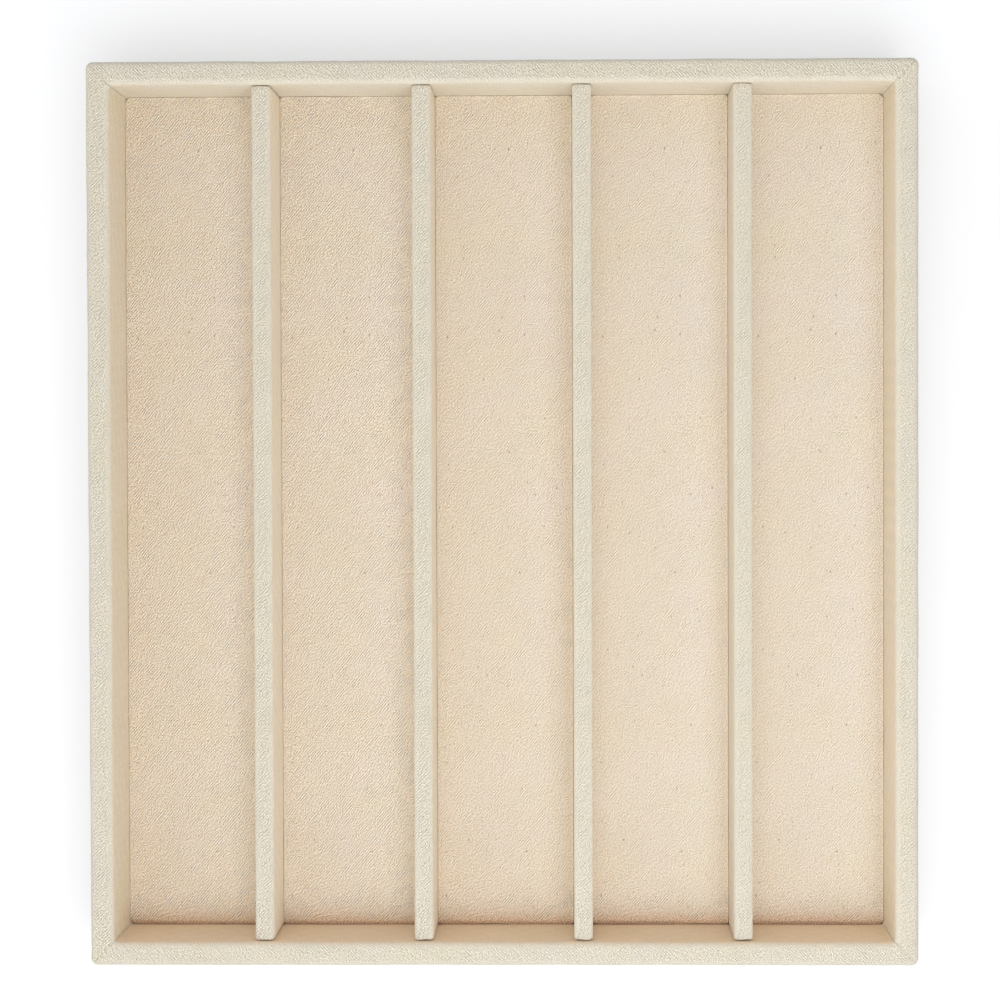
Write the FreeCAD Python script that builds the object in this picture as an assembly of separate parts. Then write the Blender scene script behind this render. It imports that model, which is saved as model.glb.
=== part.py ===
import FreeCAD, Part
import math
import os

# A cloth-covered jewelry tray: four mitred rails wrapped in cloth stand on a base board,
# four wrapped dividers make five long cells, and each cell holds a covered foam pad.
# Millimetres. X runs across the cells, Y along them, Z up from the surface it rests on.

# Overall sizes, measured over the cloth
tray_width = 279.4
tray_length = 304.8
tray_height = 34.0
corner_radius = 2.5
rim_round = 1.7

# Boards and cloth of the frame
rail_core = 6.4
base_thick = 3.0
frame_cloth = 0.7
hem_width = 12.0

# Lining under the base
liner_thick = 0.8
liner_inset = 3.0
filler_gap = 0.4

# Dividers
divider_count = 4
divider_core = 5.0
divider_drop = 2.5
divider_round = 1.6
divider_end_gap = 0.3
divider_hem_slot = 1.8
divider_hem_end = 5.0
flap_thick = 0.5
flap_height = 11.0

# Pads
pad_gap = 0.4
pad_corner = 2.6
pad_cloth = 0.6
pad_card = 1.5
pad_hem = 9.0
foam_edge = 0.3
pad_roll = 2.2
crown_rise = 0.8

# Brads of flat wire with T heads, driven up through the base board
brad_width = 1.2
brad_depth = 1.0
brad_length = 14.0
brad_head_width = 2.0
brad_head_height = 0.7
brad_fit = 0.05
brads_per_rail = 3
brads_per_divider = 3
brad_end_distance = 22.0

# Levels and widths that follow from the sizes above
board_bottom = liner_thick + frame_cloth
floor_level = board_bottom + base_thick
core_top = tray_height - frame_cloth
rim_width = rail_core + 2 * frame_cloth
inner_width = tray_width - 2 * rim_width
inner_length = tray_length - 2 * rim_width
divider_width = divider_core + 2 * frame_cloth
divider_top = tray_height - divider_drop
divider_length = inner_length - 2 * (divider_end_gap + flap_thick)
cell_width = (inner_width - divider_count * divider_width) / (divider_count + 1)
pitch = cell_width + divider_width
pad_width = cell_width - 2 * pad_gap
pad_length = inner_length - 2 * pad_gap

# Below this length, two places count as one
TINY = 1e-6

SIDE_NAMES = ["front", "right", "back", "left"]


def vec(x, y, z):
    return FreeCAD.Vector(x, y, z)


def sides():
    """Each side in turn: name, turn about Z from the front, own length, distance to the side across."""
    lengths = [tray_width, tray_length]
    for quarter, name in enumerate(SIDE_NAMES):
        turn = math.degrees(quarter * math.pi / 2)
        yield name, turn, lengths[quarter % 2], lengths[(quarter + 1) % 2]


def turned(shape, turn):
    """A copy turned about the Z axis by an angle in degrees."""
    placed = shape.copy()
    placed.rotate(vec(0, 0, 0), vec(0, 0, 1), turn)
    return placed


def moved(shape, x, y):
    """A copy moved level."""
    placed = shape.copy()
    placed.translate(vec(x, y, 0))
    return placed


def prism(points, axis):
    """A flat outline of corner points, pushed along an axis vector."""
    return Part.Face(Part.makePolygon(points + points[:1])).extrude(axis)


def block(width, length, bottom, top):
    """A plain box centred on the Z axis between two levels."""
    return Part.makeBox(width, length, top - bottom, vec(-width / 2, -length / 2, bottom))


def upright_edges(solid):
    """Edges of a box that run straight up."""
    return [e for e in solid.Edges if max(e.BoundBox.XLength, e.BoundBox.YLength) < TINY]


def edges_at(solid, level):
    """Edges that lie wholly at one level."""
    return [e for e in solid.Edges if max(abs(e.BoundBox.ZMin - level), e.BoundBox.ZLength) < TINY]


def rounded_block(width, length, bottom, top, radius):
    """A box with its upright edges rounded."""
    box = block(width, length, bottom, top)
    return box.makeFillet(radius, upright_edges(box))


def domed_block(width, length, bottom, top, corner, edge):
    """A box with rounded upright edges and a rounded top edge all round."""
    box = rounded_block(width, length, bottom, top, corner)
    return box.makeFillet(edge, edges_at(box, top))


def rounded_strip(run, depth, bottom, top, radius):
    """A strip from the outer plane y = 0 inwards, its inner top edge rounded, run along X."""
    x = -run / 2
    slant = radius * math.sqrt(0.5)
    a = vec(x, 0, bottom)
    b = vec(x, depth, bottom)
    c = vec(x, depth, top - radius)
    middle = vec(x, depth - radius + slant, top - radius + slant)
    d = vec(x, depth - radius, top)
    e = vec(x, 0, top)
    edges = [Part.makeLine(a, b), Part.makeLine(b, c), Part.Arc(c, middle, d).toShape()]
    edges += [Part.makeLine(d, e), Part.makeLine(e, a)]
    return Part.Face(Part.Wire(edges)).extrude(vec(run, 0, 0))


def mitre_wedge(run, depth):
    """The room that one side owns: a trapezium whose ends run at 45 degrees."""
    points = [vec(-run / 2, 0, 0), vec(run / 2, 0, 0)]
    points += [vec(run / 2 - depth, depth, 0), vec(-run / 2 + depth, depth, 0)]
    return prism(points, vec(0, 0, tray_height))


def to_side(shape, turn, span):
    """Set a front strip, made on the plane y = 0, against one side of the tray."""
    return turned(moved(shape, 0, -span / 2), turn)


def frame_core():
    """The block that the rails and the base board are cut from, just inside the cloth."""
    width = tray_width - 2 * frame_cloth
    length = tray_length - 2 * frame_cloth
    corner = corner_radius - frame_cloth
    return domed_block(width, length, board_bottom, core_top, corner, rim_round - frame_cloth)


def frame_skin():
    """The same block grown by the cloth, down to the hem turned under the base."""
    return domed_block(tray_width, tray_length, liner_thick, tray_height, corner_radius, rim_round)


def rail(core, turn, run, span):
    """One mitred rail with a rounded top, standing on the base board."""
    strip = rounded_strip(run, rim_width - frame_cloth, floor_level, core_top, rim_round - frame_cloth)
    wedge = mitre_wedge(run, rim_width)
    return core.common(to_side(strip.common(wedge), turn, span))


def rail_wrap(skin, base, own_rail, turn, run, span):
    """Cloth over one rail: inner face, top, outer face, base edge and the hem underneath."""
    leg = rounded_strip(run, rim_width, board_bottom, tray_height, rim_round)
    hem = Part.makeBox(run, hem_width, frame_cloth, vec(-run / 2, 0, liner_thick))
    wedge = mitre_wedge(run, max(hem_width, rim_width))
    cover = skin.common(to_side(leg.fuse(hem).common(wedge), turn, span))
    return cover.cut(base).cut(own_rail).removeSplitter()


def base_board():
    """Hardboard that closes the frame from below, flush with the rails."""
    width = tray_width - 2 * frame_cloth
    length = tray_length - 2 * frame_cloth
    return rounded_block(width, length, board_bottom, floor_level, corner_radius - frame_cloth)


def base_filler():
    """Thin card that levels the underside between the four hems."""
    width = tray_width - 2 * (hem_width + filler_gap)
    length = tray_length - 2 * (hem_width + filler_gap)
    return block(width, length, liner_thick, board_bottom)


def base_liner():
    """Felt sheet over hems and filler, the face that the tray rests on."""
    width = tray_width - 2 * liner_inset
    length = tray_length - 2 * liner_inset
    return rounded_block(width, length, 0.0, liner_thick, corner_radius)


def divider_x(index):
    """Middle of one divider, counted from the left."""
    return -inner_width / 2 + (index + 1) * pitch - divider_width / 2


def divider_board():
    """A plain board, its two long top edges eased to carry the cloth."""
    length = divider_length - 2 * frame_cloth
    top = divider_top - frame_cloth
    board = block(divider_core, length, floor_level + frame_cloth, top)
    long_edges = [e for e in edges_at(board, top) if e.BoundBox.XLength < TINY]
    return board.makeFillet(divider_round - frame_cloth, long_edges)


def divider_flap(end):
    """The three-cornered flap of a parcel fold, lying on one end of a divider."""
    half = divider_width / 2 - divider_round
    y = end * divider_length / 2
    top = divider_top - divider_round
    points = [vec(-half, y, top), vec(half, y, top), vec(0, y, top - flap_height)]
    return prism(points, vec(0, end * flap_thick, 0))


def divider_wrap(board):
    """Cloth round one divider: round edges and ends, folded flaps, and hems that turn under the board."""
    slot_length = divider_length - 2 * divider_hem_end
    slot = block(divider_hem_slot, slot_length, floor_level, floor_level + frame_cloth)
    plan = (divider_width, divider_length)
    outside = domed_block(*plan, floor_level, divider_top, divider_round, divider_round)
    wrap = outside.cut(board).cut(slot)
    return wrap.fuse([divider_flap(-1), divider_flap(1)]).removeSplitter()


def crown_section(half, roll, bottom, roll_level):
    """Upright sides that roll over by one arc into a low crown, as a flat face across the pad."""
    reach = half - roll
    swing = (reach * reach + crown_rise * crown_rise) / (2 * crown_rise)
    lean = math.asin(reach / swing)
    top = roll_level + roll + crown_rise
    turn = (lean + math.pi / 2) / 2
    joint_x = reach + roll * math.sin(lean)
    joint_z = roll_level + roll * math.cos(lean)
    mid_x = reach + roll * math.sin(turn)
    mid_z = roll_level + roll * math.cos(turn)

    def point(x, z):
        return vec(x, -pad_length, z)

    edges = [
        Part.makeLine(point(-half, bottom), point(half, bottom)),
        Part.makeLine(point(half, bottom), point(half, roll_level)),
        Part.Arc(point(half, roll_level), point(mid_x, mid_z), point(joint_x, joint_z)).toShape(),
        Part.Arc(point(joint_x, joint_z), point(0, top), point(-joint_x, joint_z)).toShape(),
        Part.Arc(point(-joint_x, joint_z), point(-mid_x, mid_z), point(-half, roll_level)).toShape(),
        Part.makeLine(point(-half, roll_level), point(-half, bottom)),
    ]
    return Part.Face(Part.Wire(edges))


def rolled_ends(half, roll, bottom, roll_level):
    """A long block whose two ends roll over at the top, to trim the crowned length."""
    top = roll_level + roll + crown_rise
    box = block(2 * pad_width, 2 * half, bottom, top)
    ends = [e for e in edges_at(box, top) if e.BoundBox.YLength < TINY]
    return box.makeFillet(roll + crown_rise, ends)


def pad_body(inset, bottom):
    """A pad's rounded outline with crown and rolled edges, drawn in by the inset."""
    half_width = pad_width / 2 - inset
    half_length = pad_length / 2 - inset
    roll = pad_roll - inset
    roll_level = floor_level + pad_cloth + pad_card + foam_edge
    crown = crown_section(half_width, roll, bottom, roll_level).extrude(vec(0, 2 * pad_length, 0))
    ends = rolled_ends(half_length, roll, bottom, roll_level)
    plan = rounded_block(2 * half_width, 2 * half_length, bottom, tray_height, pad_corner - inset)
    return crown.common(ends).common(plan)


def pad_pieces():
    """Card, foam and cover of one pad, centred on X = 0."""
    card_bottom = floor_level + pad_cloth
    card_top = card_bottom + pad_card
    inside = pad_body(pad_cloth, card_bottom)
    card_room = block(pad_width, pad_length, card_bottom, card_top)
    opening_width = pad_width - 2 * (pad_cloth + pad_hem)
    opening_length = pad_length - 2 * (pad_cloth + pad_hem)
    opening = block(opening_width, opening_length, floor_level, card_bottom)
    card = inside.common(card_room)
    foam = inside.cut(card_room)
    cover = pad_body(0.0, floor_level).cut(inside).cut(opening)
    return {"board": card, "foam": foam, "cover": cover}


def spaced(count, half):
    """Even places from -half to half."""
    return [-half + 2 * half * i / (count - 1) for i in range(count)]


def brad(grow):
    """One brad on the Z axis, head flush with the underside of the base, grown all round for its hole."""
    depth = brad_depth + 2 * grow
    shank = block(brad_width + 2 * grow, depth, board_bottom, board_bottom + brad_length + grow)
    head = block(brad_head_width + 2 * grow, depth, board_bottom, board_bottom + brad_head_height + grow)
    return shank.fuse(head).removeSplitter()


def brad_group(grow):
    """All brads, along the middle of each rail and of each divider, their heads in line with it."""
    one = brad(grow)
    brads = []
    for _, turn, run, span in sides():
        row = moved(one, 0, frame_cloth + rail_core / 2)
        for along in spaced(brads_per_rail, run / 2 - brad_end_distance):
            brads.append(to_side(moved(row, along, 0), turn, span))
    upright = turned(one, math.degrees(math.pi / 2))
    for index in range(divider_count):
        for along in spaced(brads_per_divider, divider_length / 2 - brad_end_distance):
            brads.append(moved(upright, divider_x(index), along))
    return Part.makeCompound(brads)


def save(node, shape):
    shape.exportStep("parts/" + node + ".step")


def build():
    holes = brad_group(brad_fit)
    solid_base = base_board()
    save("base_board", solid_base.cut(holes))
    save("base_filler", base_filler())
    save("base_liner", base_liner())
    save("base_brads", brad_group(0.0))

    core = frame_core()
    skin = frame_skin()
    for name, turn, run, span in sides():
        own_rail = rail(core, turn, run, span)
        save(name + "_rail", own_rail.cut(holes))
        save(name + "_wrap", rail_wrap(skin, solid_base, own_rail, turn, run, span))

    board = divider_board()
    wrap = divider_wrap(board)
    for index in range(divider_count):
        x = divider_x(index)
        node = "divider_%d" % (index + 1)
        save(node + "_board", moved(board, x, 0).cut(holes))
        save(node + "_wrap", moved(wrap, x, 0))

    pieces = pad_pieces()
    for index in range(divider_count + 1):
        x = -inner_width / 2 + index * pitch + cell_width / 2
        for kind, shape in pieces.items():
            save("pad_%d_%s" % (index + 1, kind), moved(shape, x, 0))


os.makedirs("parts", exist_ok=True)
build()
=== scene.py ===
"""Looks of a jewelry tray: twill strips over the rim's rails, twill-covered dividers, five padded twill pads
and a felt underside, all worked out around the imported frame. The boards, card, filler and brads under the
cloth keep their CAD shape. Lengths are in metres, X across the tray, Y from front to back, Z up."""

import math

import bmesh
import bpy
import numpy as np
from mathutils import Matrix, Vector


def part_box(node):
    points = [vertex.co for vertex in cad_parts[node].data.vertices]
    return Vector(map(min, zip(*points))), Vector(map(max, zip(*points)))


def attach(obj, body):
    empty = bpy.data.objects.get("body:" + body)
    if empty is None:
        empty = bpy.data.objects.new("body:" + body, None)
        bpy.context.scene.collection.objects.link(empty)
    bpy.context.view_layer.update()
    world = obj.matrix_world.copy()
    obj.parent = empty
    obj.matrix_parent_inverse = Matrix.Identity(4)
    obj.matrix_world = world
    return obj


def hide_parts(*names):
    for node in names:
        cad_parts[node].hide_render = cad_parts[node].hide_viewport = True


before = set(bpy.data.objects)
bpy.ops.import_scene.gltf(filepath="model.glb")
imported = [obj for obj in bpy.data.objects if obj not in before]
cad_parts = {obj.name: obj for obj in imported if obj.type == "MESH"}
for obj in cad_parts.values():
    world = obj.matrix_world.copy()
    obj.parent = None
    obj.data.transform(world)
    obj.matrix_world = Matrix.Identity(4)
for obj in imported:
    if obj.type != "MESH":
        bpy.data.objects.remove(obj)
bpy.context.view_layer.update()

MM = 0.001
TINY = 1e-9
WELD = 0.002 * MM
ARC_STEPS = 7

# How every soft unevenness is made: the number of sine waves, their shortest and longest share of the given
# length, and what their mean is multiplied by.
WAVE_COUNT = 7
WAVE_SPREAD = (0.6, 1.6)
WAVE_GAIN = 1.6

# Where each kind of piece begins its seeds.
STRIP_SEED = 100
DIVIDER_SEED = 200
PAD_SEED = 300
FELT_SEED = 400
SEED_STEP = 10

# The rim. Its sizes are the solids' own, its rounding is the cloth's.
HALF_WIDE = 139.7 * MM
HALF_LONG = 152.4 * MM
RIM_TOP = 34.0 * MM
RIM_WIDTH = 7.8 * MM
RIM_ROUND = 2.0 * MM
CORNER = 2.4 * MM
INNER_CORNER = 1.8 * MM
FLOOR = 4.5 * MM
UNDER = 0.8 * MM
HEM = 12.0 * MM
HEM_ROUND = 0.6 * MM
STRIP_THICK = 0.45 * MM
STRIP_STEP_ALONG = 1.5 * MM
STRIP_STEP_ACROSS = 1.1 * MM

# The cloth's soft waves, as pairs of height and length, and what it does near a mitre.
STRIP_WAVES = ((0.10 * MM, 34.0 * MM), (0.035 * MM, 7.0 * MM))
STRIP_STILLED = 0.6
MITRE_EDGE = 0.07 * MM
MITRE_COLUMNS = MM * np.array(
    [0.0, 0.03, 0.07, 0.14, 0.26, 0.42, 0.6, 0.85, 1.2, 1.6, 2.1, 2.7, 3.5, 4.6, 6.0, 8.0]
)
SWELL_HEIGHT = 0.05 * MM
SWELL_PLACE = 1.8 * MM
SWELL_REACH = 1.5 * MM
SWELL_LENGTH = 6.0 * MM
SEAM_REACH = 0.2 * MM
SEAM_ON_TOP = 0.3

# The dividers.
DIVIDER_HALF = 3.2 * MM
DIVIDER_TOP = 31.5 * MM
DIVIDER_ROUND = 1.6 * MM
DIVIDER_END_ROUND = 0.45 * MM
DIVIDER_REACH = 144.3 * MM
DIVIDER_BACKWARD = 0.12 * MM
FLAP_HIGH = 11.0 * MM
FLAP_RISE = 0.2 * MM
FLAP_EDGE = 0.15
DIVIDER_SIDE_ROWS = 24
DIVIDER_TOP_ROWS = 7
DIVIDER_COLUMNS = 186
DIVIDER_CLOSING_COLUMNS = 8
DIVIDER_END_ROUND_COLUMNS = 7
DIVIDER_END_COLUMNS = MM * np.array([0.0, 0.5, 1.2, 2.2, 3.6, 5.5])
DIVIDER_WAVES = ((0.10 * MM, 40.0 * MM), (0.04 * MM, 8.0 * MM))
DIVIDER_STILLED = 0.7
# How much of the divider sides' painted light the left faces get.
DIVIDER_LEFT_SHARE = 0.45
END_CRUMPLE = 0.15 * MM
END_CRUMPLE_LENGTH = 4.0 * MM
END_REACH = 2.5 * MM
# Dust and painted shade on a divider's end face, darkening the shaded gap at the wall.
END_DUST_AND_SHADE = 0.5
END_DUST_AND_SHADE_FALL = 6

# The pads.
PAD_ROLL = 0.24 * MM
PAD_CORNER = 2.0 * MM
PAD_FRONT_GAP = 0.3 * MM
PAD_FRONT_GAP_REACH = 4.0 * MM
PAD_DIVIDER_CORNER = 0.8 * MM
PAD_FOOT_CORNER = 0.6 * MM
PAD_BULGE = 0.34 * MM
PAD_CROWN = 0.8 * MM
PAD_CROWN_FADE = 36
PAD_DROOP = 0.32 * MM
PAD_DROOP_REACH = 2.6 * MM
PAD_WAVES = ((0.16 * MM, 48.0 * MM), (0.05 * MM, 11.0 * MM))
PAD_PUCKER = 0.03 * MM
PAD_PUCKER_LENGTH = 18.0 * MM
PAD_CLOTH = 0.6 * MM
PAD_HEM = 9.0 * MM
PAD_FOOT_ROUND = 0.35 * MM
PAD_ROLL_LINES = 5
PAD_SIDE_LINES = (0.35, 0.65)
PAD_FOOT_LINES = 4
# A hair less than a quarter turn, so that the direction at a corner doesn't vanish.
PAD_ROLL_TURN = 0.4995 * math.pi
PAD_LINES = (46, 220)
WADDING_LINES = (16, 60)
PAD_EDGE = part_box("pad_1_cover")[1].z - PAD_CROWN

# The felt.
FELT_CORNER = 3.0 * MM
FELT_CUT = 0.25 * MM
FELT_CUT_LENGTH = 30.0 * MM
FELT_STEP = 5.0 * MM
FELT_COLUMNS = MM * np.array([0.0, 0.3, 0.8, 1.4, 2.1, 3.0])

# One repeat of the twill is three yarns, in both directions.
FRAME_YARN = (1.087 / 3 * MM, 1.12 / 3 * MM)
PAD_YARN = (1.151 / 3 * MM, 0.954 / 3 * MM)

# How plainly the ribs of the twill show: 1.0 in about half of the cloth, less in fewer places.
DIVIDER_CRISPNESS = (1.3, 1.3, 1.1, 0.97)
WALL_PLAINER = 0.6
PAD_FRONT_CRISPER = 0.45
PAD_FRONT_CRISP_REACH = 5.0 * MM
PAD_BACK_CRISPER = 0.15
PAD_BACK_CRISP_FROM = 0.3

# Painted light and shade in the cloth's colour: inner walls and pad edges lightened and warmed as by bounce
# light, the pads' front end darkened and warmed as by the front wall's shadow.
# The unevenness of the walls' painted light.
WALL_UNEVEN = 0.28
WALL_UNEVEN_LENGTH = 4.0 * MM
# Painted light on the divider sides, lifting and warming them as bounce light would.
DIVIDER_SIDE_PAINTED_LIGHT = (1.38, 1.33, 1.31)
# Painted shade at the pads' front end, darker and warmer, where the front wall's shadow falls.
PAD_FRONT_PAINTED_SHADE = (0.93, 0.67, 0.51)
PAD_FRONT_PAINTED_SHADE_REACH = 2.2 * MM
# Painted light on the pads near the front wall, the sides and the back, against the walls' shade.
PAD_FRONT_PAINTED_LIGHT = 0.15
PAD_FRONT_PAINTED_LIGHT_REACH = 8.0 * MM
PAD_SIDE_PAINTED_LIGHT = 0.065
PAD_SIDE_PAINTED_LIGHT_REACH = 8.0 * MM
PAD_BACK_PAINTED_LIGHT = 1.7 * PAD_SIDE_PAINTED_LIGHT
PAD_BACK_PAINTED_LIGHT_REACH = 4.0 * MM
# Painted light on a pad's right, where the next divider's shadow falls.
PAD_RIGHT_PAINTED_LIGHT = (1.22, 1.17, 1.12)
PAD_RIGHT_PAINTED_LIGHT_REACH = 5.0 * MM
# Thin painted lines at the pads' edges: dark painted shade in the front crevice, painted light in the right
# and back crevices.
PAD_LINE_REACH = 0.3 * MM
PAD_FRONT_PAINTED_SHADE_LINE = (0.62, 0.56, 0.5)
PAD_PAINTED_LIGHT_LINE = (1.2, 1.18, 1.16)
# Whiter painted light on the pads, more on the right-hand ones, and a painted highlight band right of each
# pad's middle.
PAD_WHITER_PAINTED_LIGHT = (1.02, 1.06, 1.11)
PAD_PAINTED_HIGHLIGHT_BAND = 0.5
PAD_BAND_PLACE = 0.6
PAD_BAND_SPREAD = 0.1
# For each pad: its side beside the rim, how crisp its weave is, how much whiter painted light it has, and how
# much painted light lifts the divider's shadow on its right.
PAD_NATURE = (
    (-1, 1.25, 0.0, 1.0),
    (0, 1.2, 0.3, 0.7),
    (0, 0.93, 0.37, 0.45),
    (0, 0.8, 0.7, 0.35),
    (1, 0.78, 0.9, 0.0),
)


def waver(along, across, length, seed):
    """Soft unevenness, about -1 to 1: the mean of a few sine waves, each with its own heading and phase and
    somewhat shorter or longer than the given length."""
    draw = np.random.default_rng(seed)
    heading = draw.uniform(0.0, 2.0 * math.pi, WAVE_COUNT)
    phase = draw.uniform(0.0, 2.0 * math.pi, WAVE_COUNT)
    lengths = length * draw.uniform(*WAVE_SPREAD, WAVE_COUNT)
    forward = along[..., None] * np.cos(heading) + across[..., None] * np.sin(heading)
    return WAVE_GAIN * np.sin(2.0 * math.pi * forward / lengths + phase).mean(-1)


def waves(along, across, sizes, seed):
    """The sum of wavers, one for each pair of height and length, with seeds that follow each other."""
    total = 0.0
    for place, (height, length) in enumerate(sizes):
        total = total + height * waver(along, across, length, seed + place)
    return total


def fading(distance, reach):
    """1 at no distance, 1/e at the reach, and so on down."""
    return np.exp(-distance / reach)


def tinted(share, painted_light_and_shade):
    """A painted light and shade factor for the colour at every point: 1 where the share is 0, the given
    factor where it is 1.
    """
    return 1.0 + share[..., None] * (np.array(painted_light_and_shade) - 1.0)


def outward(surface):
    """Unit normals of a grid of points: the step along the columns crossed with the step along the rows."""
    normal = np.cross(np.gradient(surface, axis=1), np.gradient(surface, axis=0))
    return normal / np.maximum(np.linalg.norm(normal, axis=-1, keepdims=True), TINY)


def middle_of(low, high, level=0.0):
    """The middle of a box in plan, at a level."""
    return np.array([(low.x + high.x) / 2.0, (low.y + high.y) / 2.0, level])


def grid_faces(rows, cols, first=0):
    """Quads of a grid whose points are numbered row by row from first, facing columns cross rows."""
    corner = first + np.arange(rows - 1)[:, None] * cols + np.arange(cols - 1)[None, :]
    return np.stack([corner, corner + 1, corner + cols + 1, corner + cols], -1).reshape(-1, 4)


def graded(half, near, step):
    """Places from -half to half: at the given distances from both ends, and evenly spaced between."""
    inner = half - near[-1]
    middle = np.linspace(-inner, inner, int(round(2.0 * inner / step)) + 1)
    return np.concatenate([near[:-1] - half, middle, (half - near[:-1])[::-1]])


def distance_along(points):
    """The distance of each point of a line from its first: the sum of the steps before it."""
    return np.concatenate([[0.0], np.cumsum(np.linalg.norm(np.diff(points, axis=0), axis=1))])


def rounded_profile(corners, radii, step):
    """A line in a plane: straight runs between corners, each inner corner turned on an arc of its radius.
    Gives the points and the distance of each along the line."""
    corners = np.array(corners)
    heading = np.diff(corners, axis=0)
    heading = heading / np.linalg.norm(heading, axis=1, keepdims=True)
    runs = []
    start = corners[0]
    for place, radius in enumerate(radii):
        before = heading[place]
        after = heading[place + 1]
        turn = math.atan2(before[0] * after[1] - before[1] * after[0], before @ after)
        back = radius * math.tan(abs(turn) / 2.0)
        near = corners[place + 1] - before * back
        count = max(2, int(round(np.linalg.norm(near - start) / step)) + 1)
        runs.append(start + (near - start) * np.linspace(0.0, 1.0, count)[:, None])
        side = math.copysign(1.0, turn) * np.array([-before[1], before[0]])
        angle = np.linspace(0.0, abs(turn), ARC_STEPS + 1)[1:-1, None]
        runs.append(near + side * radius * (1.0 - np.cos(angle)) + before * radius * np.sin(angle))
        start = corners[place + 1] + after * back
    count = max(2, int(round(np.linalg.norm(corners[-1] - start) / step)) + 1)
    runs.append(start + (corners[-1] - start) * np.linspace(0.0, 1.0, count)[:, None])
    points = np.concatenate(runs)
    return points, distance_along(points)


def make_piece(name, points, faces, cloth_uv, masks, material, nodes, thick=0.0):
    """One finished piece: its mesh with the cloth's own lengthwise and crosswise distances as UV map, masks
    as point attributes, points that coincide merged, and a wall of the given thickness inside it."""
    mesh = bpy.data.meshes.new(name)
    mesh.from_pydata(points.reshape(-1, 3).tolist(), [], faces.tolist())
    corner_point = np.empty(len(mesh.loops), np.int32)
    mesh.loops.foreach_get("vertex_index", corner_point)
    layer = mesh.uv_layers.new(name="cloth")
    layer.data.foreach_set("uv", cloth_uv.reshape(-1, 2)[corner_point].astype(np.float32).ravel())
    for label, mask in masks.items():
        kind, field = ("FLOAT_VECTOR", "vector") if label == "painted_light_and_shade" else ("FLOAT", "value")
        attribute = mesh.attributes.new(label, kind, "POINT")
        attribute.data.foreach_set(field, mask.astype(np.float32).ravel())
    mesh.polygons.foreach_set("use_smooth", np.ones(len(mesh.polygons), bool))
    welded = bmesh.new()
    welded.from_mesh(mesh)
    bmesh.ops.remove_doubles(welded, verts=welded.verts, dist=WELD)
    welded.to_mesh(mesh)
    welded.free()
    mesh.materials.append(material)
    piece = bpy.data.objects.new(name, mesh)
    bpy.context.scene.collection.objects.link(piece)
    if thick:
        wall = piece.modifiers.new("cloth_wall", "SOLIDIFY")
        wall.thickness = thick
        wall.offset = -1.0
    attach(piece, "root")
    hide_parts(*nodes)
    return piece


# Cloth strips over the rails.


def rail_strip(run, painted_wall_light, crisp, seed):
    """A strip of cloth over one rail, lying along X with its outside face at Y = 0. The profile goes from
    the hem under the base up the outside, over the top and down the inside. It is carried along a straight
    run that turns through an eighth of a circle into each corner, so that both ends lie in the mitre planes:
    on the outside about the outer corner's centre, on the inside about the inner corner's, whose radius is
    less down beside a pad. The cloth wavers softly, swells a little beside a mitre and rolls under at it."""
    profile, gone = rounded_profile(
        [(HEM, UNDER), (0.0, UNDER), (0.0, RIM_TOP), (RIM_WIDTH, RIM_TOP), (RIM_WIDTH, FLOOR)],
        [HEM_ROUND, RIM_ROUND, RIM_ROUND],
        STRIP_STEP_ACROSS,
    )
    depth = profile[:, :1]
    level = profile[:, 1:]
    share = graded(run / 2.0, MITRE_COLUMNS, STRIP_STEP_ALONG)[None, :] / (run / 2.0)
    inner = RIM_WIDTH + corner_radius(level, INNER_CORNER)
    centre = np.where(depth > RIM_WIDTH - RIM_ROUND - TINY, inner, np.maximum(depth, CORNER))
    bend = centre - depth
    straight = run / 2.0 - centre
    reach = straight + bend * math.pi / 4.0
    along = share * reach
    angle = np.maximum(np.abs(along) - straight, 0.0) / np.maximum(bend, TINY)
    x = np.sign(share) * (np.minimum(np.abs(along), straight) + bend * np.sin(angle))
    y = depth + bend * (1.0 - np.cos(angle))
    surface = np.stack([x, y, level + 0.0 * share], -1)
    across = gone[:, None] + 0.0 * share
    normal = outward(surface)
    to_mitre = reach - np.abs(along)
    under = np.clip(MITRE_EDGE - to_mitre, 0.0, MITRE_EDGE)
    roll = MITRE_EDGE - np.sqrt(np.maximum(MITRE_EDGE**2 - under**2, 0.0))
    swell = np.exp(-(((to_mitre - SWELL_PLACE) / SWELL_REACH) ** 2))
    lift = waves(along, across, STRIP_WAVES, seed)
    lift += SWELL_HEIGHT * swell * (1.0 + waver(along, across, SWELL_LENGTH, seed + 2))
    wall_share = np.clip(normal[..., 1], 0.0, 1.0) ** 2
    lift = lift * (1.0 - STRIP_STILLED * wall_share) - roll
    surface = surface + normal * lift[..., None]
    rub = 2.0 * np.abs(normal[..., 1] * normal[..., 2])
    # Dust and painted shade at the mitre, more on the inner wall, where the corner's shade falls.
    seam_dust_and_shade = (SEAM_ON_TOP + (1.0 - SEAM_ON_TOP) * wall_share) * fading(to_mitre, SEAM_REACH)
    # Painted light on the inner wall, lifting and warming it as bounce light would, a little unevenly.
    uneven = 1.0 + WALL_UNEVEN * waver(along, across, WALL_UNEVEN_LENGTH, seed + 3)
    masks = {
        "rub": rub,
        "seam_dust_and_shade": seam_dust_and_shade,
        "painted_light_and_shade": tinted(wall_share * uneven, painted_wall_light),
        "crisp": crisp - WALL_PLAINER * wall_share,
    }
    return surface, np.stack([along, across], -1), masks


def corner_radius(level, above):
    """Radius of a cell's corner in plan: the given one above the pads' edge, less down to their foot."""
    below = np.clip((PAD_EDGE - level) / PAD_CORNER, 0.0, 1.0)
    return above + (PAD_FOOT_CORNER - above) * below


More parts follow.
